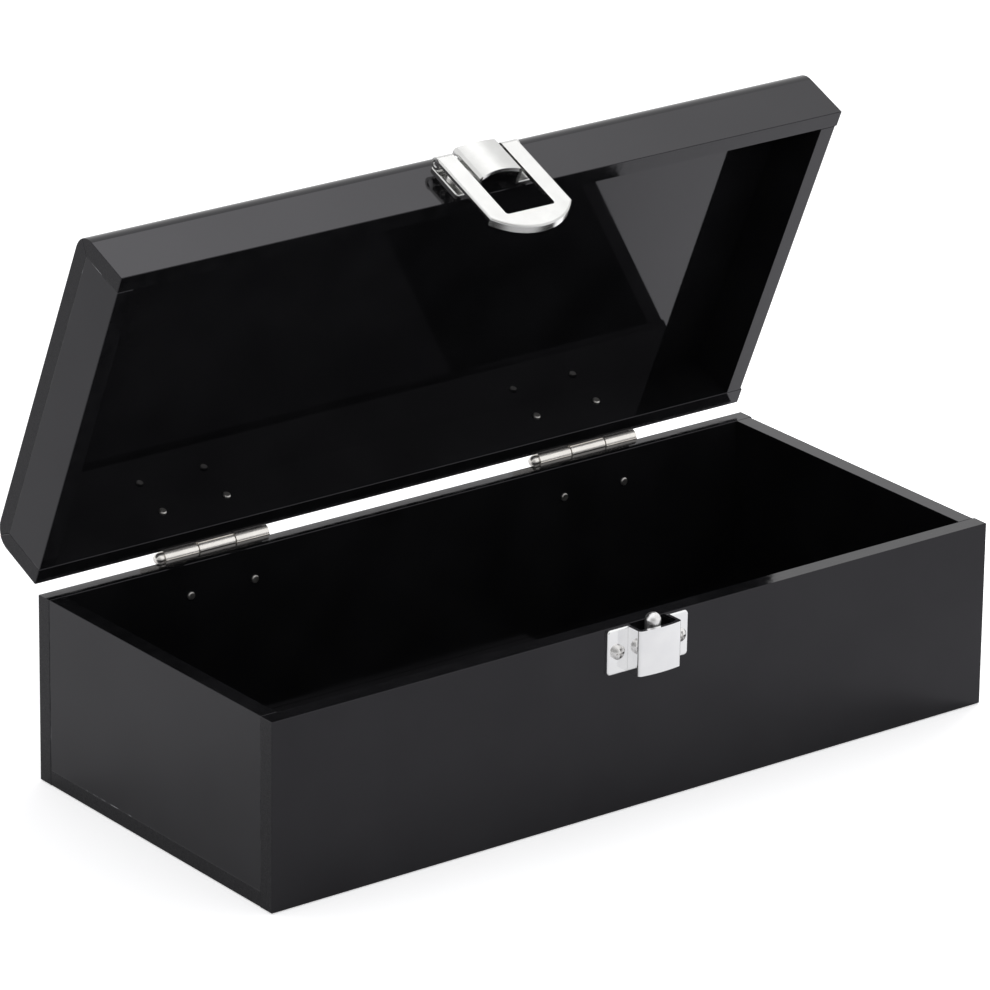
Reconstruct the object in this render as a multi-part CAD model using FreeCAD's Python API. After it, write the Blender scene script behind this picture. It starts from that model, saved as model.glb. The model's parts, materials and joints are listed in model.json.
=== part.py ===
import FreeCAD, Part
import os
from math import cos, radians, sin

Vec = FreeCAD.Vector

# A hinged box of black acrylic sheet with a hasp latch, standing with its lid open.
# Frame: X to the right along the length, Y to the rear, Z up, origin under the middle of the base.
# The lid and its fittings are drawn shut and then turned open about the hinge axis.

# Driving dimensions of the box, in millimetres and degrees
box_length = 189.0            # front and rear panels, end to end
box_depth = 84.0              # front face to rear face
base_height = 42.0            # underside to base rim
lid_height = 16.0             # lid rim to lid top
sheet = 4.0                   # acrylic of the walls and the lid
floor_sheet = 3.5             # acrylic of the floor
left_inset = 0.08             # end panel, floor and lid top stop this far inside the long panels' left ends
right_inset = 0.5             # the same at the right ends, where the step shows
lid_edge_radius = 4.4         # round-over of the lid's two long top edges
rim_gap = 0.3                 # base rim to lid rim, lid shut
edge_break = 0.12             # broken edge of every sheet
lid_open_angle = 66.9         # lid as it stands, counted from shut

# Driving dimensions of the hinges
hinge_spacing = 100.0         # middle of one hinge to middle of the other
hinge_offset = 1.5            # the pair of hinges to the right of the middle
hinge_width = 26.8
barrel_radius = 1.65
barrel_clearance = 0.15       # barrel to the plane of the rear faces
leaf_thickness = 0.8
leaf_reach = 10.5             # axis to a leaf's free edge
leaf_corner_radius = 1.0
outer_knuckle = 8.5           # length of each of the base leaf's two knuckles
knuckle_gap = 0.3             # end play between knuckles
knuckle_clearance = 0.3       # leaf cut-out around the other leaf's knuckle
hinge_pin_radius = 0.8
hinge_pin_clearance = 0.04
pin_head_radius = 1.3
pin_head_straight = 0.8       # straight stretch of the pin head before its dome
pin_head_dome = 1.2
pin_tail = 0.3                # pin end standing out of the last knuckle
hinge_screw_row = 7.5         # axis to the screw row of each leaf
hinge_screw_spacing = 16.6
hinge_screw_shift = -1.7      # screws to the left of a leaf's middle

# Driving dimensions of the screws
screw_radius = 0.9
screw_hole_clearance = 0.05
screw_tip = 0.45              # screw end standing out of the inner face
screw_tip_bevel = 0.2
pan_head_radius = 1.6
pan_head_rim = 0.5            # straight side of the pan head
pan_head_dome = 0.8
flat_head_radius = 1.7
cross_length = 2.1
cross_width = 0.5
cross_depth = 0.6

# Driving dimensions of the latch: lid bracket and base catch are pressed strips with a bridge
latch_offset = 1.0            # latch to the right of the middle
strip_width = 21.3
strip_height = 10.1
strip_thickness = 0.8
flange_corner_radius = 0.9
flange_edge_round = 0.4
bridge_width = 11.2
bridge_crown = 0.5            # bulge of the bridge's outer face
bend_radius = 0.9
bracket_standoff = 4.75       # lid's face to the middle of the bracket's bridge
bracket_rise = 0.8            # bracket's lower edge above the lid rim
mouth_rise = 0.7              # arch in the lower edge of the bracket's bridge
catch_standoff = 5.2          # base's face to the middle of the catch's bridge
catch_shift = 0.2             # catch's bridge to the right of the middle of its flanges
catch_drop = 0.3              # catch's upper edge below the base rim
hasp_width = 21.4
hasp_shift = -0.4             # hasp slid along its pin to one side of its play
hasp_plate = 1.0
hasp_side_play = 0.75         # hasp window to each side of the bridges
hasp_end_play = 0.3           # hasp window to the catch's lower edge, lid shut
hasp_window_radius = 0.7
hasp_bar = 5.25               # window to the tip of the round end
hasp_roll_radius = 1.4        # rolled ends of the two arms
hasp_roll_clearance = 0.5     # rolled ends to the bracket's flanges
hasp_pivot_drop = 1.7         # pivot below the bracket's upper edge
hasp_edge_round = 0.4
hasp_lip_wall = 1.0           # turned-down lip of the round end
hasp_lip_depth = 0.9
hasp_pin_radius = 0.8
hasp_pin_clearance = 0.06
hasp_pin_inset = 0.2          # pin ends inside the arms' outer sides
post_radius = 1.7
post_dome = 1.5
post_standoff = 2.2           # post's middle in front of the panel's face
post_rise = 2.1               # post above the base rim
post_foot_width = 4.0
post_foot_start = 1.5         # foot above the catch's lower edge
post_foot_height = 3.5

# Modelling values
overrun = 1.0                 # cutting shapes run this far past the faces they cut
tiny = 1e-6                   # two places closer than this are the same
mitre_angle = 45.0            # where the lid's rounded edges are parted

# Derived places
left_x = -box_length / 2
right_x = box_length / 2
left_end_x = left_x + left_inset
right_end_x = right_x - right_inset
front_y = -box_depth / 2
rear_y = box_depth / 2
base_rim = base_height
lid_rim = base_rim + rim_gap
lid_top = lid_rim + lid_height
hinge_y = rear_y + barrel_radius + barrel_clearance
hinge_z = base_rim + rim_gap / 2
hinge_centres = {"left": hinge_offset - hinge_spacing / 2, "right": hinge_offset + hinge_spacing / 2}
catch_top = base_rim - catch_drop
catch_bottom = catch_top - strip_height
bracket_bottom = lid_rim + bracket_rise
flange_y = front_y - strip_thickness
bracket_y = front_y - bracket_standoff
catch_y = front_y - catch_standoff
pivot_y = flange_y - hasp_roll_clearance - hasp_roll_radius
pivot_z = bracket_bottom + strip_height - hasp_pivot_drop
leaf_y = rear_y + leaf_thickness
hole_radius = screw_radius + screw_hole_clearance
front_screw_length = strip_thickness + sheet + screw_tip
rear_screw_length = leaf_thickness + sheet + screw_tip


# Shapes used by several pieces

def block(x0, x1, y0, y1, z0, z1):
    """A box between two corners."""
    return Part.makeBox(x1 - x0, y1 - y0, z1 - z0, Vec(x0, y0, z0))


def rod_x(radius, x0, x1, y, z):
    """A round rod along X."""
    return Part.makeCylinder(radius, x1 - x0, Vec(x0, y, z), Vec(1, 0, 0))


def rod_y(radius, y0, y1, x, z):
    """A round rod along Y."""
    return Part.makeCylinder(radius, y1 - y0, Vec(x, y0, z), Vec(0, 1, 0))


def dome(radius, height):
    """A spherical cap of the given foot radius, standing on the origin towards +Z."""
    ball_radius = (radius ** 2 + height ** 2) / (2 * height)
    ball = Part.makeSphere(ball_radius, Vec(0, 0, height - ball_radius))
    return ball.common(block(-radius, radius, -radius, radius, 0, height + overrun))


def line(a, b):
    return Part.LineSegment(a, b).toShape()


def arc(a, b, c):
    return Part.Arc(a, b, c).toShape()


def same(a, b):
    return abs(a - b) < tiny


def middle_of(edge):
    return edge.BoundBox.Center


def edges_along(shape, axis):
    """The straight edges of a shape that run along one axis, given as 'X', 'Y' or 'Z'."""
    chosen = []
    for edge in shape.Edges:
        spans = {"X": edge.BoundBox.XLength, "Y": edge.BoundBox.YLength, "Z": edge.BoundBox.ZLength}
        along = spans.pop(axis)
        if along > tiny and max(spans.values()) < tiny:
            chosen.append(edge)
    return chosen


def panel(x0, x1, y0, y1, z0, z1):
    """A flat sheet with its edges broken."""
    shape = block(x0, x1, y0, y1, z0, z1)
    return shape.makeChamfer(edge_break, shape.Edges)


def profile_panel(edges, length):
    """A sheet with a shaped cross-section in the YZ plane, its ends and its rim edges broken."""
    shape = Part.Face(Part.Wire(edges)).extrude(Vec(length, 0, 0))
    broken = [edge for edge in shape.Edges if edge.BoundBox.XLength < tiny]
    broken += [edge for edge in edges_along(shape, "X") if same(middle_of(edge).z, lid_rim)]
    return shape.makeChamfer(edge_break, broken)


def with_screw_holes(shape, places, y0, y1):
    """Screw holes along Y at (x, z) places, through the stretch y0 to y1."""
    for x, z in places:
        shape = shape.cut(rod_y(hole_radius, y0 - overrun, y1 + overrun, x, z))
    return shape


def open_lid(shape):
    """A shape drawn with the lid shut, turned to where it is with the lid open."""
    turned = shape.copy()
    turned.rotate(Vec(0, hinge_y, hinge_z), Vec(-1, 0, 0), lid_open_angle)
    return turned


# Screw places, as (x, z) with the lid shut

def strip_screw_places(bottom_z):
    """One screw in the middle of each flange of a latch strip."""
    reach = (strip_width + bridge_width) / 4
    return [(latch_offset + side * reach, bottom_z + strip_height / 2) for side in (-1, 1)]


def leaf_screw_places(centre, direction):
    """Two screws in a hinge leaf: direction -1 is down on the base, 1 is up on the lid."""
    reach = hinge_screw_spacing / 2
    middle = centre + hinge_screw_shift
    return [(middle + side * reach, hinge_z + direction * hinge_screw_row) for side in (-1, 1)]


def hinge_screw_places(direction):
    places = []
    for centre in hinge_centres.values():
        places += leaf_screw_places(centre, direction)
    return places


# Base panels

def base_front_panel():
    shape = panel(left_x, right_x, front_y, front_y + sheet, 0, base_rim)
    return with_screw_holes(shape, strip_screw_places(catch_bottom), front_y, front_y + sheet)


def base_rear_panel():
    shape = panel(left_x, right_x, rear_y - sheet, rear_y, 0, base_rim)
    return with_screw_holes(shape, hinge_screw_places(-1), rear_y - sheet, rear_y)


def base_floor_panel():
    return panel(left_end_x, right_end_x, front_y + sheet, rear_y - sheet, 0, floor_sheet)


def left_panel(z0, z1):
    """A left end panel between the front and rear panels."""
    return panel(left_end_x, left_end_x + sheet, front_y + sheet, rear_y - sheet, z0, z1)


def right_panel(z0, z1):
    """A right end panel between the front and rear panels."""
    return panel(right_end_x - sheet, right_end_x, front_y + sheet, rear_y - sheet, z0, z1)


# Lid panels: the top is mitred into the front and rear panels and the joints are rounded over

def lid_round(x, outer_y, inward, angle):
    """A point on a rounded long edge: angle 0 is at the side, 90 at the top; inward is 1 or -1."""
    depth = lid_edge_radius * (1 - cos(radians(angle)))
    drop = lid_edge_radius * (1 - sin(radians(angle)))
    return Vec(x, outer_y + inward * depth, lid_top - drop)


def lid_long_panel(outer_y, inward):
    """The lid's front panel (inward 1) or rear panel (inward -1), rim downwards."""
    rim_outer = Vec(left_x, outer_y, lid_rim)
    rim_inner = Vec(left_x, outer_y + inward * sheet, lid_rim)
    mitre_inner = Vec(left_x, outer_y + inward * sheet, lid_top - sheet)
    mitre_outer, round_middle, round_foot = [
        lid_round(left_x, outer_y, inward, angle) for angle in (mitre_angle, mitre_angle / 2, 0)]
    edges = [line(rim_outer, rim_inner), line(rim_inner, mitre_inner), line(mitre_inner, mitre_outer),
             arc(mitre_outer, round_middle, round_foot), line(round_foot, rim_outer)]
    return profile_panel(edges, box_length)


def lid_front_panel():
    shape = lid_long_panel(front_y, 1)
    return with_screw_holes(shape, strip_screw_places(bracket_bottom), front_y, front_y + sheet)


def lid_rear_panel():
    shape = lid_long_panel(rear_y, -1)
    return with_screw_holes(shape, hinge_screw_places(1), rear_y - sheet, rear_y)


def lid_top_panel():
    angles = (mitre_angle, (mitre_angle + 90) / 2, 90)
    front_round = [lid_round(left_end_x, front_y, 1, angle) for angle in angles]
    rear_round = [lid_round(left_end_x, rear_y, -1, angle) for angle in reversed(angles)]
    front_inner = Vec(left_end_x, front_y + sheet, lid_top - sheet)
    rear_inner = Vec(left_end_x, rear_y - sheet, lid_top - sheet)
    edges = [line(front_inner, front_round[0]), arc(*front_round), line(front_round[2], rear_round[0]),
             arc(*rear_round), line(rear_round[2], rear_inner), line(rear_inner, front_inner)]
    return profile_panel(edges, right_end_x - left_end_x)


# Hinges

def knuckle_spans(centre):
    """X spans of the knuckles: the base leaf's two outer ones and the lid leaf's middle one."""
    x0 = centre - hinge_width / 2
    x1 = centre + hinge_width / 2
    outer = [(x0, x0 + outer_knuckle), (x1 - outer_knuckle, x1)]
    middle = [(x0 + outer_knuckle + knuckle_gap, x1 - outer_knuckle - knuckle_gap)]
    return outer, middle


def countersink(x, z):
    """A countersunk hole through a hinge leaf, opening to the rear."""
    depth = flat_head_radius - hole_radius
    cone = Part.makeCone(flat_head_radius, hole_radius, depth, Vec(x, leaf_y, z), Vec(0, -1, 0))
    return cone.fuse(rod_y(hole_radius, rear_y - overrun, leaf_y, x, z))


def hinge_leaf(centre, direction, own_spans, other_spans):
    """A leaf with its knuckles: direction -1 hangs down on the base, 1 stands up on the lid."""
    x0 = centre - hinge_width / 2
    x1 = centre + hinge_width / 2
    free_z = hinge_z + direction * leaf_reach
    shape = block(x0, x1, rear_y, leaf_y, min(hinge_z, free_z), max(hinge_z, free_z))
    corners = [edge for edge in edges_along(shape, "Y") if same(middle_of(edge).z, free_z)]
    shape = shape.makeFillet(leaf_corner_radius, corners)
    notch_z = hinge_z + direction * (barrel_radius + knuckle_clearance)
    past_z = hinge_z - direction * overrun
    for start, end in other_spans:
        shape = shape.cut(block(start - knuckle_gap, end + knuckle_gap, rear_y - overrun, leaf_y + overrun,
                                min(notch_z, past_z), max(notch_z, past_z)))
    for start, end in own_spans:
        shape = shape.fuse(rod_x(barrel_radius, start, end, hinge_y, hinge_z))
    shape = shape.removeSplitter()
    shape = shape.cut(rod_x(hinge_pin_radius + hinge_pin_clearance, x0 - overrun, x1 + overrun,
                            hinge_y, hinge_z))
    for x, z in leaf_screw_places(centre, direction):
        shape = shape.cut(countersink(x, z))
    return shape


def hinge_pin(centre):
    """The pin, with a domed head outside the left-hand knuckle."""
    x0 = centre - hinge_width / 2
    x1 = centre + hinge_width / 2
    shoulder = x0 - pin_head_straight
    cap = dome(pin_head_radius, pin_head_dome)
    cap.rotate(Vec(0, 0, 0), Vec(0, 1, 0), -90)
    cap.translate(Vec(shoulder, hinge_y, hinge_z))
    head = rod_x(pin_head_radius, shoulder, x0, hinge_y, hinge_z).fuse(cap)
    shank = rod_x(hinge_pin_radius, x0, x1 + pin_tail, hinge_y, hinge_z)
    return head.fuse(shank).removeSplitter()


# Screws, drawn with the head towards +Z: a pan head stands on the origin, a flat head ends there

def cross_recess(top_z):
    half_length = cross_length / 2
    half_width = cross_width / 2
    bottom_z = top_z - cross_depth
    first = block(-half_length, half_length, -half_width, half_width, bottom_z, top_z + overrun)
    second = block(-half_width, half_width, -half_length, half_length, bottom_z, top_z + overrun)
    return first.fuse(second)


def screw_shank(length):
    straight = length - screw_tip_bevel
    shank = Part.makeCylinder(screw_radius, straight, Vec(0, 0, 0), Vec(0, 0, -1))
    tip = Part.makeCone(screw_radius, screw_radius - screw_tip_bevel, screw_tip_bevel,
                        Vec(0, 0, -straight), Vec(0, 0, -1))
    return shank.fuse(tip)


def pan_head_screw():
    crown = dome(pan_head_radius, pan_head_dome)
    crown.translate(Vec(0, 0, pan_head_rim))
    head = Part.makeCylinder(pan_head_radius, pan_head_rim).fuse(crown).removeSplitter()
    head = head.cut(cross_recess(pan_head_rim + pan_head_dome))
    return head.fuse(screw_shank(front_screw_length)).removeSplitter()


def flat_head_screw():
    depth = flat_head_radius - hole_radius
    head = Part.makeCone(flat_head_radius, hole_radius, depth, Vec(0, 0, 0), Vec(0, 0, -1))
    return head.fuse(screw_shank(rear_screw_length)).removeSplitter().cut(cross_recess(0))


def screw_group(screw, places, head_y, facing):
    """Copies of one screw at (x, z) places, heads at head_y; facing -1 is to the front, 1 to the rear."""
    group = []
    for x, z in places:
        copy = screw.copy()
        copy.rotate(Vec(0, 0, 0), Vec(1, 0, 0), -90 * facing)
        copy.translate(Vec(x, head_y, z))
        group.append(copy)
    return Part.makeCompound(group)


# Latch

def crowned_block(half_width, back_y, crown_y, z0, z1):
    """A block whose front face bulges forwards to crown_y in its middle."""
    side_y = crown_y + bridge_crown
    back_left = Vec(-half_width, back_y, z0)
    back_right = Vec(half_width, back_y, z0)
    front_left = Vec(-half_width, side_y, z0)
    front_right = Vec(half_width, side_y, z0)
    edges = [line(back_left, front_left), arc(front_left, Vec(0, crown_y, z0), front_right),
             line(front_right, back_right), line(back_right, back_left)]
    return Part.Face(Part.Wire(edges)).extrude(Vec(0, 0, z1 - z0))


def bridge_hollow(crown_y, bottom_z):
    """The space inside a bridge, open to the panel, above and below."""
    half_hollow = bridge_width / 2 - strip_thickness
    return crowned_block(half_hollow, front_y + overrun, crown_y + strip_thickness,
                         bottom_z - overrun, bottom_z + strip_height + overrun)


def latch_strip(crown_y, bridge_x, bottom_z):
    """The pressed strip: two flanges flat on the panel and a raised, hollow bridge between them."""
    half_strip = strip_width / 2
    top_z = bottom_z + strip_height
    flanges = block(-half_strip, half_strip, flange_y, front_y, bottom_z, top_z)
    flanges = flanges.makeFillet(flange_corner_radius, edges_along(flanges, "Y"))
    rim = [edge for edge in flanges.Edges if same(edge.BoundBox.YMax, flange_y)]
    flanges = flanges.makeFillet(flange_edge_round, rim)
    bridge = crowned_block(bridge_width / 2, front_y, crown_y, bottom_z, top_z)
    bends = [edge for edge in edges_along(bridge, "Z") if same(middle_of(edge).y, crown_y + bridge_crown)]
    bridge = bridge.makeFillet(bend_radius, bends)
    hollow = bridge_hollow(crown_y, bottom_z)
    for piece in (bridge, hollow):
        piece.translate(Vec(bridge_x, 0, 0))
    shape = flanges.fuse(bridge).removeSplitter().cut(hollow)
    shape.translate(Vec(latch_offset, 0, 0))
    return with_screw_holes(shape, strip_screw_places(bottom_z), flange_y, front_y)


def latch_catch():
    return latch_strip(catch_y, catch_shift, catch_bottom)


def bracket_mouth():
    """The arch that is cut from the lower edge of the bracket's bridge."""
    half_mouth = bridge_width / 2 - strip_thickness
    start_y = bracket_y - overrun
    left = Vec(latch_offset - half_mouth, start_y, bracket_bottom)
    top = Vec(latch_offset, start_y, bracket_bottom + mouth_rise)
    right = Vec(latch_offset + half_mouth, start_y, bracket_bottom)
    face = Part.Face(Part.Wire([arc(left, top, right), line(right, left)]))
    return face.extrude(Vec(0, flange_y - start_y, 0))


def hasp_bracket():
    """The strip on the lid, bored for the hasp's pin."""
    half_bore = bridge_width / 2 + overrun
    bore = rod_x(hasp_pin_radius + hasp_pin_clearance, latch_offset - half_bore, latch_offset + half_bore,
                 pivot_y, pivot_z)
    return latch_strip(bracket_y, 0, bracket_bottom).cut(bore).cut(bracket_mouth())


def catch_post():
    """The round-topped post in the catch, with a square foot fixed to the back of the bridge."""
    post_y = front_y - post_standoff
    shoulder_z = base_rim + post_rise - post_dome
    foot_bottom = catch_bottom + post_foot_start
    foot_top = foot_bottom + post_foot_height
    half_foot = post_foot_width / 2
    cap = dome(post_radius, post_dome)
    cap.translate(Vec(0, post_y, shoulder_z))
    rod = Part.makeCylinder(post_radius, shoulder_z - foot_top, Vec(0, post_y, foot_top))
    foot = block(-half_foot, half_foot, catch_y, post_y + post_radius, foot_bottom, foot_top)
    hollow = bridge_hollow(catch_y, catch_bottom)
    hollow.translate(Vec(catch_shift, 0, 0))
    shape = rod.fuse(cap).fuse(foot.common(hollow)).removeSplitter()
    shape.translate(Vec(latch_offset, 0, 0))
    return shape


def hasp_loop():
    """The hasp: two arms rolled round the pin, and a round end with a turned-down lip below a window."""
    half = hasp_width / 2
    half_window = bridge_width / 2 + hasp_side_play
    outer_y = pivot_y - hasp_roll_radius
    inner_y = outer_y + hasp_plate
    lip_y = inner_y + hasp_lip_depth
    window_z = catch_bottom - hasp_end_play
    tip_z = window_z - hasp_bar
    round_radius = (half ** 2 + hasp_bar ** 2) / (2 * hasp_bar)
    round_z = tip_z + round_radius

    def at(x, z):
        return Vec(x, outer_y, z)

    outline = [line(at(-half, pivot_z), at(-half, window_z)),
               arc(at(-half, window_z), at(0, tip_z), at(half, window_z)),
               line(at(half, window_z), at(half, pivot_z)),
               line(at(half, pivot_z), at(-half, pivot_z))]
    shape = Part.Face(Part.Wire(outline)).extrude(Vec(0, hasp_plate, 0))
    softened = [edge for edge in shape.Edges
                if same(middle_of(edge).y, outer_y) and not same(middle_of(edge).z, pivot_z)]
    shape = shape.makeFillet(hasp_edge_round, softened)
    lip = rod_y(round_radius, inner_y, lip_y, 0, round_z)
    lip = lip.cut(rod_y(round_radius - hasp_lip_wall, inner_y, lip_y, 0, round_z))
    shape = shape.fuse(lip.common(block(-half, half, inner_y, lip_y, tip_z - overrun, window_z)))
    for side in (-1, 1):
        roll = sorted((side * half_window, side * half))
        shape = shape.fuse(rod_x(hasp_roll_radius, *roll, pivot_y, pivot_z))
    window = block(-half_window, half_window, outer_y - overrun, lip_y + overrun,
                   window_z, pivot_z + hasp_roll_radius + overrun)
    corners = [edge for edge in edges_along(window, "Y") if same(middle_of(edge).z, window_z)]
    shape = shape.removeSplitter().cut(window.makeFillet(hasp_window_radius, corners))
    shape = shape.cut(rod_x(hasp_pin_radius, -half - overrun, half + overrun, pivot_y, pivot_z))
    shape.translate(Vec(latch_offset + hasp_shift, 0, 0))
    return shape


def hasp_pin():
    half = hasp_width / 2 - hasp_pin_inset
    middle = latch_offset + hasp_shift
    return rod_x(hasp_pin_radius, middle - half, middle + half, pivot_y, pivot_z)


# The assembly

def base_nodes():
    """The pieces that stay with the base."""
    nodes = {
        "base_front_panel": base_front_panel(),
        "base_rear_panel": base_rear_panel(),
        "base_floor_panel": base_floor_panel(),
        "base_left_panel": left_panel(floor_sheet, base_rim),
        "base_right_panel": right_panel(floor_sheet, base_rim),
        "base_hinge_screws": screw_group(flat_head_screw(), hinge_screw_places(-1), leaf_y, 1),
        "latch_catch": latch_catch(),
        "catch_screws": screw_group(pan_head_screw(), strip_screw_places(catch_bottom), flange_y, -1),
        "catch_post": catch_post(),
    }
    for name, centre in hinge_centres.items():
        outer, middle = knuckle_spans(centre)
        nodes[name + "_hinge_base_leaf"] = hinge_leaf(centre, -1, outer, middle)
        nodes[name + "_hinge_pin"] = hinge_pin(centre)
    return nodes


def lid_nodes():
    """The pieces that turn with the lid, drawn shut."""
    nodes = {
        "lid_top_panel": lid_top_panel(),
        "lid_front_panel": lid_front_panel(),
        "lid_rear_panel": lid_rear_panel(),
        "lid_left_panel": left_panel(lid_rim, lid_top - sheet),
        "lid_right_panel": right_panel(lid_rim, lid_top - sheet),
        "lid_hinge_screws": screw_group(flat_head_screw(), hinge_screw_places(1), leaf_y, 1),
        "hasp_bracket": hasp_bracket(),
        "bracket_screws": screw_group(pan_head_screw(), strip_screw_places(bracket_bottom), flange_y, -1),
        "hasp_loop": hasp_loop(),
        "hasp_pin": hasp_pin(),
    }
    for name, centre in hinge_centres.items():
        outer, middle = knuckle_spans(centre)
        nodes[name + "_hinge_lid_leaf"] = hinge_leaf(centre, 1, middle, outer)
    return nodes


os.makedirs("parts", exist_ok=True)
pieces = base_nodes()
for name, shape in lid_nodes().items():
    pieces[name] = open_lid(shape)
for name, shape in pieces.items():
    shape.exportStep(os.path.join("parts", name + ".step"))
    print(name, len(shape.Solids), "solids", round(shape.Volume, 2), "mm3")
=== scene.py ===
import json
from math import cos, pi, radians, sin

import bpy
from mathutils import Matrix, Vector
from mathutils.noise import noise as waver


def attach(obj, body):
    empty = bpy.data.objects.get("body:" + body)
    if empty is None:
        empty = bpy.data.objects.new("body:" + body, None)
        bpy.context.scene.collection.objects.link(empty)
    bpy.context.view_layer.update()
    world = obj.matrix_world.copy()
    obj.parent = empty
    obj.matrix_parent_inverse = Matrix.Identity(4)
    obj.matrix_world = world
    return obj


# A black acrylic card box with its lid open, dressed and lit. Everything is in metres.

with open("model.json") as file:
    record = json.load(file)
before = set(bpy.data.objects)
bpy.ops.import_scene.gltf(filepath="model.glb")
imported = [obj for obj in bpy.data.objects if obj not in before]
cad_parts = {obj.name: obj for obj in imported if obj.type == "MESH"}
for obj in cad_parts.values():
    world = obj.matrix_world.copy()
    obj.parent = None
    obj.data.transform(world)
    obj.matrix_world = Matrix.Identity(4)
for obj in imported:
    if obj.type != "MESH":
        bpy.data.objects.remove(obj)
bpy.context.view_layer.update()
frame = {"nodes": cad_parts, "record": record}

# Camera, solved from the box's corners
camera_aim = Vector((0.00724, 0.01834, 0.04899))
camera_distance = 1.4943
camera_azimuth = radians(37.48)      # to the left of the front
camera_elevation = radians(21.16)
camera_roll = radians(0.758)
camera_lens = 253.56                 # millimetres, as is the sensor's width
camera_sensor = 36.0

# Floor
floor_reach = 3.0
floor_drop = 0.0002                  # floor just under the box
floor_paint = (0.87, 0.87, 0.885, 1)
floor_glow = 0.5                     # white that is added to the lit floor where the camera sees it

# Room
room_white = 1.0
room_fill = 0.82                     # room light that falls on the object
dim_side = Vector((-0.58, -0.79, 0.16)).normalized()
dim_start = radians(60)              # the room dims from here towards the middle of its dim side
dim_end = radians(15)
dim_level = 0.4
glow_direction = Vector((0.47, 0.33, 0.82)).normalized()
glow_spread = radians(15)            # from the glow's middle to its end
glow_across = Vector((0.008, 0.933, -0.36)).normalized()
glow_band = radians(1.5)             # half the glow's width the other way, and where it has faded
glow_fade = radians(4)
glow_level = 1.5                     # how much whiter than the room the glow's middle is

# Lamps, square, with their power in watts
key_lamp_place = Vector((0.85, 0.5, 1.4))
key_lamp_aim = Vector((0, 0, 0.05))
key_lamp_size = 1.0
key_lamp_power = 3.0
right_lamp_place = Vector((0.2, 0.06, 0.12))
right_lamp_aim = Vector((0.165, 0.01, 0))
right_lamp_size = 0.1
right_lamp_power = 0.18

# Colours of the materials
acrylic_deep = (0.0045, 0.0045, 0.0050, 1)
acrylic_worn = (0.0075, 0.0075, 0.0082, 1)
acrylic_sheen = (0.94, 0.915, 1, 1)
nickel_light = (0.90, 0.87, 0.83, 1)
nickel_dark = (0.85, 0.82, 0.78, 1)
chrome_light = (0.97, 0.97, 0.97, 1)
chrome_dark = (0.91, 0.91, 0.92, 1)
# the hasp's plate, painted darker than the chrome as shade
shaded_satin_light = (0.70, 0.70, 0.69, 1)
shaded_satin_dark = (0.68, 0.68, 0.67, 1)
steel_light = (0.90, 0.89, 0.88, 1)
steel_dark = (0.76, 0.75, 0.74, 1)
# the hinge screws, painted darker than the other screws as shade
shaded_screw_light = (0.52, 0.51, 0.49, 1)
shaded_screw_dark = (0.36, 0.35, 0.34, 1)
glue_clear = (0.010, 0.010, 0.011, 1)
# painted glints in the glue
painted_glue_glints = (0.38, 0.38, 0.40, 1)

# Gloss of the acrylic and the glue
acrylic_index = 1.49
glue_index = 1.47
sheet_gloss = 0.37                   # how strongly the sheets' faces and rims mirror
sawn_gloss = 0.24                    # how strongly their sawn ends do

# Painted shade, darkening the metal's base colour in crevices and near other parts
crevice_shade = (0.12, 0.12, 0.12, 1)
open_shade = (1, 1, 1, 1)
crevice_full = 0.1                   # share of open space at which the shade is full
crevice_gone = 0.55                  # and at which it is gone
crevice_samples = 8
plate_reach = 0.0006                 # how near another surface must be to paint shade on the latch and the screws
barrel_reach = 0.0003                # how near it must be to paint shade on the hinges

# Faces of the sheets, by the cosine of the angle between two directions
rim_facing = 0.3                     # a rim faces the sheet's broad side less than this
end_facing = 0.9                     # a sawn end faces along the box more than this

# Glue lines in the grooves between the sheets
edge_break = 0.00012                 # the sheets' broken edges, which leave the grooves
glue_fill = 0.8                      # how full of glue the grooves are
glue_waver = 0.3                     # how much that changes along a seam
glue_grain = 400                     # changes per metre
glue_steps = 40                      # stretches along a seam
glue_corners = 3                     # a groove is a triangle across


# Helpers for materials

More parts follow.
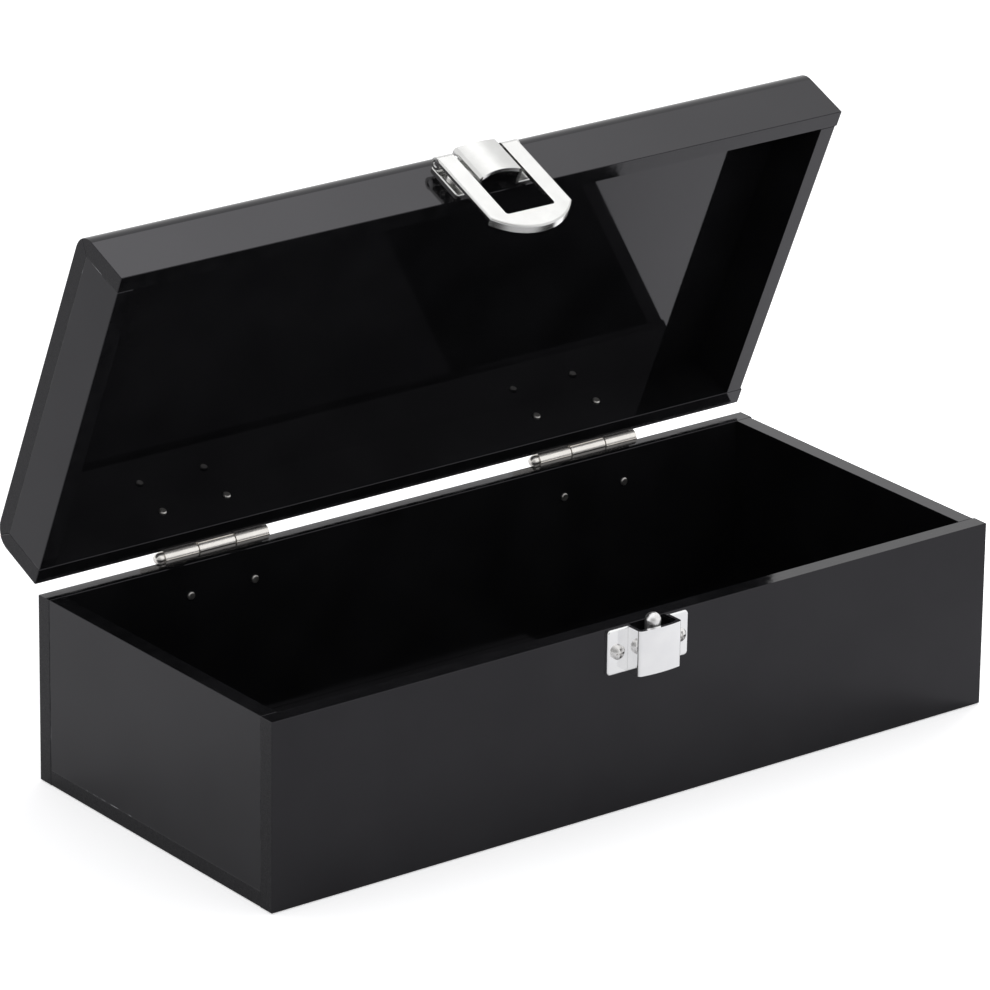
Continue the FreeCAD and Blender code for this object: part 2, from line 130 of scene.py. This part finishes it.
class Look:
    """A material with a Principled shader and a few procedural layers."""

    noise_low = 0.3                  # most of a noise lies between these two levels
    noise_high = 0.7

    def __init__(self, name):
        self.material = bpy.data.materials.new(name)
        self.material.use_nodes = True
        self.nodes = self.material.node_tree.nodes
        self.links = self.material.node_tree.links
        self.shader = self.nodes["Principled BSDF"]
        self.place = self.nodes.new("ShaderNodeTexCoord").outputs["Object"]

    def set(self, **values):
        """Constants, set on the shader's own sockets."""
        for socket, value in values.items():
            self.shader.inputs[socket.replace("_", " ")].default_value = value

    def noise(self, scale, detail, stretch=(1, 1, 1)):
        """Noise of about one cycle per 1/scale metres, stretched along an axis by a small factor there."""
        mapping = self.nodes.new("ShaderNodeMapping")
        mapping.inputs["Scale"].default_value = stretch
        texture = self.nodes.new("ShaderNodeTexNoise")
        texture.inputs["Scale"].default_value = scale
        texture.inputs["Detail"].default_value = detail
        self.links.new(self.place, mapping.inputs["Vector"])
        self.links.new(mapping.outputs["Vector"], texture.inputs["Vector"])
        return texture.outputs["Fac"]

    def ramp(self, factor, low, high, start, end):
        """A colour that goes from low to high as the factor goes from start to end."""
        ramp = self.nodes.new("ShaderNodeValToRGB")
        for stop, place, paint in zip(ramp.color_ramp.elements, (start, end), (low, high)):
            stop.position = place
            stop.color = paint
        self.links.new(factor, ramp.inputs["Fac"])
        return ramp.outputs["Color"]

    def colour(self, factor, low, high, start=0.35, end=0.65):
        """The base colour, also returned for a further layer."""
        paint = self.ramp(factor, low, high, start, end)
        self.links.new(paint, self.shader.inputs["Base Color"])
        return paint

    def darken_with_painted_shade(self, paint, reach):
        """Paints shade into a base colour where another surface is nearer than the reach."""
        near = self.nodes.new("ShaderNodeAmbientOcclusion")
        near.samples = crevice_samples
        near.inputs["Distance"].default_value = reach
        shade = self.ramp(near.outputs["AO"], crevice_shade, open_shade, crevice_full, crevice_gone)
        both = self.nodes.new("ShaderNodeVectorMath")
        both.operation = "MULTIPLY"
        self.links.new(paint, both.inputs[0])
        self.links.new(shade, both.inputs[1])
        self.links.new(both.outputs["Vector"], self.shader.inputs["Base Color"])

    def roughness(self, factor, low, high):
        """Roughness that follows a noise between two levels."""
        spread = self.nodes.new("ShaderNodeMapRange")
        spread.inputs["From Min"].default_value = self.noise_low
        spread.inputs["From Max"].default_value = self.noise_high
        spread.inputs["To Min"].default_value = low
        spread.inputs["To Max"].default_value = high
        self.links.new(factor, spread.inputs["Value"])
        self.links.new(spread.outputs["Result"], self.shader.inputs["Roughness"])

    def bump(self, factor, height, strength=1.0):
        """Relief of the given height."""
        relief = self.nodes.new("ShaderNodeBump")
        relief.inputs["Distance"].default_value = height
        relief.inputs["Strength"].default_value = strength
        self.links.new(factor, relief.inputs["Height"])
        self.links.new(relief.outputs["Normal"], self.shader.inputs["Normal"])


def acrylic(name, gloss):
    """The start of a look for cast sheet."""
    look = Look(name)
    look.set(IOR=acrylic_index, Specular_IOR_Level=gloss, Specular_Tint=acrylic_sheen)
    return look


def metal(name):
    """The start of a look for metal."""
    look = Look(name)
    look.set(Metallic=1.0)
    return look


# Materials

def black_acrylic():
    """Polished cast sheet: near black, faintly wavy, with slight smears in its gloss."""
    look = acrylic("black_acrylic", sheet_gloss)
    look.colour(look.noise(scale=60, detail=4), acrylic_deep, acrylic_worn)
    look.roughness(look.noise(scale=35, detail=5, stretch=(1, 1, 0.5)), low=0.02, high=0.075)
    look.bump(look.noise(scale=22, detail=1), height=0.00003)
    return look.material


def polished_edge():
    """The sheets' polished rims, wavier than their faces."""
    look = acrylic("polished_edge", sheet_gloss)
    look.colour(look.noise(scale=250, detail=4), acrylic_deep, acrylic_worn)
    look.roughness(look.noise(scale=400, detail=4), low=0.04, high=0.13)
    look.bump(look.noise(scale=330, detail=1.5), height=0.00002, strength=0.7)
    return look.material


def sawn_edge():
    """The long sheets' sawn ends, duller than their faces and speckled."""
    look = acrylic("sawn_edge", sawn_gloss)
    look.colour(look.noise(scale=1500, detail=3), acrylic_deep, acrylic_worn)
    look.roughness(look.noise(scale=900, detail=4), low=0.18, high=0.38)
    look.bump(look.noise(scale=1100, detail=2), height=0.00001, strength=0.5)
    return look.material


def glue():
    """Solvent glue in the seams: clear over black, with stretches of painted white glints."""
    look = Look("glue")
    look.set(IOR=glue_index)
    # the light grey stretches are painted glints
    look.colour(look.noise(scale=130, detail=3), glue_clear, painted_glue_glints, start=0.60, end=0.72)
    look.roughness(look.noise(scale=800, detail=2), low=0.08, high=0.3)
    return look.material


def post_satin():
    """The cast post, duller than the pressed plate round it."""
    look = metal("post_satin")
    look.colour(look.noise(scale=600, detail=4), steel_dark, chrome_light, start=0.25, end=0.55)
    look.roughness(look.noise(scale=900, detail=3), low=0.26, high=0.42)
    look.bump(look.noise(scale=1300, detail=2), height=0.00003, strength=0.4)
    return look.material


def hinge_nickel():
    """Rolled and brushed nickel-plated steel, the brush marks round the barrels, with painted shade in the
    joints.
    """
    look = metal("hinge_nickel")
    paint = look.colour(look.noise(scale=200, detail=1, stretch=(2, 0.4, 0.4)), nickel_dark, nickel_light)
    look.darken_with_painted_shade(paint, barrel_reach)
    look.roughness(look.noise(scale=150, detail=1, stretch=(3, 0.3, 0.3)), low=0.20, high=0.26)
    look.bump(look.noise(scale=90, detail=0, stretch=(2, 0.4, 0.4)), height=0.000004, strength=0.3)
    return look.material


def latch_chrome():
    """Bright chrome plate over pressed steel, with the faint waviness of the pressing, and painted shade in
    its folds.
    """
    look = metal("latch_chrome")
    paint = look.colour(look.noise(scale=150, detail=3), chrome_dark, chrome_light)
    look.darken_with_painted_shade(paint, plate_reach)
    look.roughness(look.noise(scale=220, detail=4), low=0.05, high=0.11)
    look.bump(look.noise(scale=110, detail=1), height=0.00002, strength=0.5)
    return look.material


def shaded_satin_plate():
    """The plate of the hasp and its bracket, softer than the catch's, painted darker than it as shade, and
    with painted shade near other parts.
    """
    look = metal("shaded_satin_plate")
    # painted shade: the plate is darker than the chrome, and darker still near other parts
    paint = look.colour(look.noise(scale=500, detail=1), shaded_satin_dark, shaded_satin_light)
    look.darken_with_painted_shade(paint, plate_reach)
    look.roughness(look.noise(scale=200, detail=1), low=0.19, high=0.22)
    look.bump(look.noise(scale=1600, detail=1), height=0.000001, strength=0.2)
    return look.material


def screw_steel():
    """Plated steel screws, a little duller than the chrome, with painted shade in their recesses and under
    their heads.
    """
    look = metal("screw_steel")
    paint = look.colour(look.noise(scale=700, detail=4), steel_dark, steel_light)
    look.darken_with_painted_shade(paint, plate_reach)
    look.roughness(look.noise(scale=900, detail=4), low=0.16, high=0.30)
    look.bump(look.noise(scale=1500, detail=2), height=0.000004, strength=0.3)
    return look.material


def shaded_screw_steel():
    """The hinge screws, duller than the latch's screws and painted darker than them as shade."""
    look = metal("shaded_screw_steel")
    # painted shade: the screws are darker than the latch's, and darker still near other parts
    paint = look.colour(look.noise(scale=800, detail=4), shaded_screw_dark, shaded_screw_light)
    look.darken_with_painted_shade(paint, plate_reach)
    look.roughness(look.noise(scale=900, detail=4), low=0.26, high=0.42)
    look.bump(look.noise(scale=1500, detail=2), height=0.000004, strength=0.3)
    return look.material


def mark_edges(mesh):
    """Gives a sheet's rims its second material and the ends of a long sheet its third."""
    broad = max(mesh.polygons, key=lambda face: face.area).normal.copy()
    for face in mesh.polygons:
        narrow = abs(face.normal.dot(broad)) < rim_facing
        sawn = narrow and abs(face.normal.x) > end_facing
        face.material_index = 2 if sawn else int(narrow)


def dress():
    """Each solid takes the materials of its slot in the record, and a few take a finish of their own, two of
    them copies painted darker as shade.
    """
    slots = {
        "black_acrylic": [black_acrylic(), polished_edge(), sawn_edge()],
        "hinge_nickel": [hinge_nickel()],
        "latch_chrome": [latch_chrome()],
        "screw_steel": [screw_steel()],
    }
    for entry in frame["record"]["subparts"]:
        mesh = frame["nodes"][entry["node"]].data
        mesh.materials.clear()
        for look in slots[entry["material_slot"]]:
            mesh.materials.append(look)
        if entry["material_slot"] == "black_acrylic":
            mark_edges(mesh)
    finishes_and_shaded_copies = [
        (post_satin(), ["catch_post"]),
        (shaded_satin_plate(), ["hasp_loop", "hasp_bracket"]),
        (shaded_screw_steel(), ["base_hinge_screws", "lid_hinge_screws"]),
    ]
    for look, nodes in finishes_and_shaded_copies:
        for node in nodes:
            frame["nodes"][node].data.materials[0] = look


# Glue lines

def lid_turn():
    """The turn that takes a place on the shut lid to the open lid."""
    joint = frame["record"]["behaviour"]["joints"][0]
    pivot = Vector(joint["pos_m"])
    turn = Matrix.Rotation(-radians(joint["range_deg"][0]), 4, Vector(joint["axis"]))
    return Matrix.Translation(pivot) @ turn @ Matrix.Translation(-pivot)


def shut_box(node, turn):
    """The low and high corners of a node's box before its turn."""
    piece = frame["nodes"][node]
    back = turn.inverted() @ piece.matrix_world
    places = [back @ vertex.co for vertex in piece.data.vertices]
    spans = list(zip(*places))
    return Vector([min(span) for span in spans]), Vector([max(span) for span in spans])


def bead_faces():
    """The faces of a bead: its start, the sides of each stretch, and its end."""
    faces = [(0, 1, 2)]
    last = glue_corners * glue_steps
    for first in range(0, last, glue_corners):
        after = first + glue_corners
        for side in range(glue_corners):
            beside = (side + 1) % glue_corners
            faces.append((first + side, first + beside, after + beside, after + side))
    faces.append((last + 2, last + 1, last))
    return faces


def glue_line(name, body, start, end, outward, look):
    """An uneven bead in the groove along a seam; outward is square to the face that shows it."""
    across = (end - start).normalized().cross(outward)
    points = []
    for step in range(glue_steps + 1):
        place = start.lerp(end, step / glue_steps)
        half = edge_break * min(1, glue_fill + glue_waver * waver(place * glue_grain))
        top = place - outward * (edge_break - half)
        points += [top - across * half, top + across * half, place - outward * edge_break]
    mesh = bpy.data.meshes.new(name)
    mesh.from_pydata(points, [], bead_faces())
    mesh.materials.append(look)
    bead = bpy.data.objects.new(name, mesh)
    bpy.context.scene.collection.objects.link(bead)
    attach(bead, body)


def glue_end(name, body, turn, outward, box, foot_z, level_z, look):
    """Glue round one end panel: a seam up each side from foot_z and one across at level_z."""
    low, high = box
    x = low.x if outward.x < 0 else high.x
    seams = [
        (low.y, foot_z, low.y, high.z),
        (high.y, foot_z, high.y, high.z),
        (low.y, level_z, high.y, level_z),
    ]
    for number, (start_y, start_z, end_y, end_z) in enumerate(seams, 1):
        start = turn @ Vector((x, start_y, start_z))
        end = turn @ Vector((x, end_y, end_z))
        glue_line("%s_glue_%d" % (name, number), body, start, end, outward, look)


def lay_glue():
    """Glue round both ends of the base and of the lid."""
    look = glue()
    still = Matrix()
    turn = lid_turn()
    foot_z = shut_box("base_floor_panel", still)[0].z
    for side, direction in (("left", -1), ("right", 1)):
        outward = Vector((direction, 0, 0))
        base_end = shut_box("base_%s_panel" % side, still)
        lid_end = shut_box("lid_%s_panel" % side, turn)
        glue_end("base_" + side, "base", still, outward, base_end, foot_z, base_end[0].z, look)
        glue_end("lid_" + side, "lid", turn, outward, lid_end, lid_end[0].z, lid_end[1].z, look)


# Stage

def math_node(tree, operation, first, second):
    """A math node on two values, each a socket or a number."""
    node = tree.nodes.new("ShaderNodeMath")
    node.operation = operation
    for socket, value in zip(node.inputs, (first, second)):
        if isinstance(value, bpy.types.NodeSocket):
            tree.links.new(value, socket)
        else:
            socket.default_value = value
    return node.outputs["Value"]


def make_floor():
    """A pale floor that keeps the box's shadow and reads white round it."""
    bpy.ops.mesh.primitive_plane_add(size=2 * floor_reach, location=(0, 0, -floor_drop))
    floor = bpy.context.object
    floor.name = "floor"
    material = bpy.data.materials.new("floor")
    material.use_nodes = True
    tree = material.node_tree
    tree.nodes.clear()
    path = tree.nodes.new("ShaderNodeLightPath")
    level = math_node(tree, "MULTIPLY", path.outputs["Is Camera Ray"], floor_glow)
    paint = tree.nodes.new("ShaderNodeBsdfDiffuse")
    paint.inputs["Color"].default_value = floor_paint
    glow = tree.nodes.new("ShaderNodeEmission")
    tree.links.new(level, glow.inputs["Strength"])
    both = tree.nodes.new("ShaderNodeAddShader")
    tree.links.new(paint.outputs["BSDF"], both.inputs[0])
    tree.links.new(glow.outputs["Emission"], both.inputs[1])
    output = tree.nodes.new("ShaderNodeOutputMaterial")
    tree.links.new(both.outputs["Shader"], output.inputs["Surface"])
    floor.data.materials.append(material)


def by_angle(tree, direction, start, end, low, high):
    """A level that goes smoothly from low at the start angle off a direction to high at the end angle."""
    along = tree.nodes.new("ShaderNodeVectorMath")
    along.operation = "DOT_PRODUCT"
    along.inputs[1].default_value = direction
    tree.links.new(tree.nodes.new("ShaderNodeTexCoord").outputs["Generated"], along.inputs[0])
    level = tree.nodes.new("ShaderNodeMapRange")
    level.interpolation_type = "SMOOTHSTEP"
    level.inputs["From Min"].default_value = start
    level.inputs["From Max"].default_value = end
    level.inputs["To Min"].default_value = low
    level.inputs["To Max"].default_value = high
    tree.links.new(math_node(tree, "ARCCOSINE", along.outputs["Value"], 0), level.inputs["Value"])
    return level.outputs["Result"]


def make_room():
    """A white room, dim on one side and with a soft glow high on the other; even and softer as light."""
    world = bpy.data.worlds.new("room")
    bpy.context.scene.world = world
    world.use_nodes = True
    tree = world.node_tree
    path = tree.nodes.new("ShaderNodeLightPath")
    mirrored = math_node(tree, "MAXIMUM", path.outputs["Is Glossy Ray"], path.outputs["Is Transmission Ray"])
    seen = math_node(tree, "MAXIMUM", path.outputs["Is Camera Ray"], mirrored)
    walls = by_angle(tree, dim_side, dim_start, dim_end, room_white, dim_level)
    glow = by_angle(tree, glow_direction, glow_spread, 0, 0, glow_level)
    for side in (-1, 1):
        edge = by_angle(tree, side * glow_across, pi / 2 - glow_fade, pi / 2 - glow_band, 0, 1)
        glow = math_node(tree, "MULTIPLY", glow, edge)
    level = tree.nodes.new("ShaderNodeMix")
    level.inputs["A"].default_value = room_fill
    tree.links.new(seen, level.inputs["Factor"])
    tree.links.new(math_node(tree, "ADD", walls, glow), level.inputs["B"])
    background = tree.nodes["Background"]
    background.inputs["Color"].default_value = (1, 1, 1, 1)
    tree.links.new(level.outputs["Result"], background.inputs["Strength"])


def softbox(name, place, aim, size, power):
    """A square soft lamp at a place, turned towards a point and not mirrored in the box."""
    lamp = bpy.data.lights.new(name, "AREA")
    lamp.shape = "SQUARE"
    lamp.size = size
    lamp.energy = power
    carrier = bpy.data.objects.new(name, lamp)
    carrier.location = place
    carrier.rotation_euler = (aim - place).to_track_quat("-Z", "Y").to_euler()
    carrier.visible_glossy = False
    bpy.context.scene.collection.objects.link(carrier)


def make_camera():
    """A long lens above the box's front left, a little rolled."""
    level_right = Vector((cos(camera_azimuth), -sin(camera_azimuth), 0))
    forward = Vector((sin(camera_azimuth) * cos(camera_elevation),
                      cos(camera_azimuth) * cos(camera_elevation),
                      -sin(camera_elevation)))
    level_up = level_right.cross(forward)
    right = level_right * cos(camera_roll) + level_up * sin(camera_roll)
    up = level_up * cos(camera_roll) - level_right * sin(camera_roll)
    place = camera_aim - forward * camera_distance
    camera = bpy.data.objects.new("camera", bpy.data.cameras.new("camera"))
    camera.data.lens = camera_lens
    camera.data.sensor_width = camera_sensor
    camera.matrix_world = Matrix.Translation(place) @ Matrix((right, up, -forward)).transposed().to_4x4()
    bpy.context.scene.collection.objects.link(camera)
    bpy.context.scene.camera = camera


dress()
lay_glue()
make_floor()
make_room()
softbox("key_lamp", key_lamp_place, key_lamp_aim, key_lamp_size, key_lamp_power)
softbox("right_lamp", right_lamp_place, right_lamp_aim, right_lamp_size, right_lamp_power)
make_camera()
bpy.context.scene.view_settings.view_transform = "Standard"
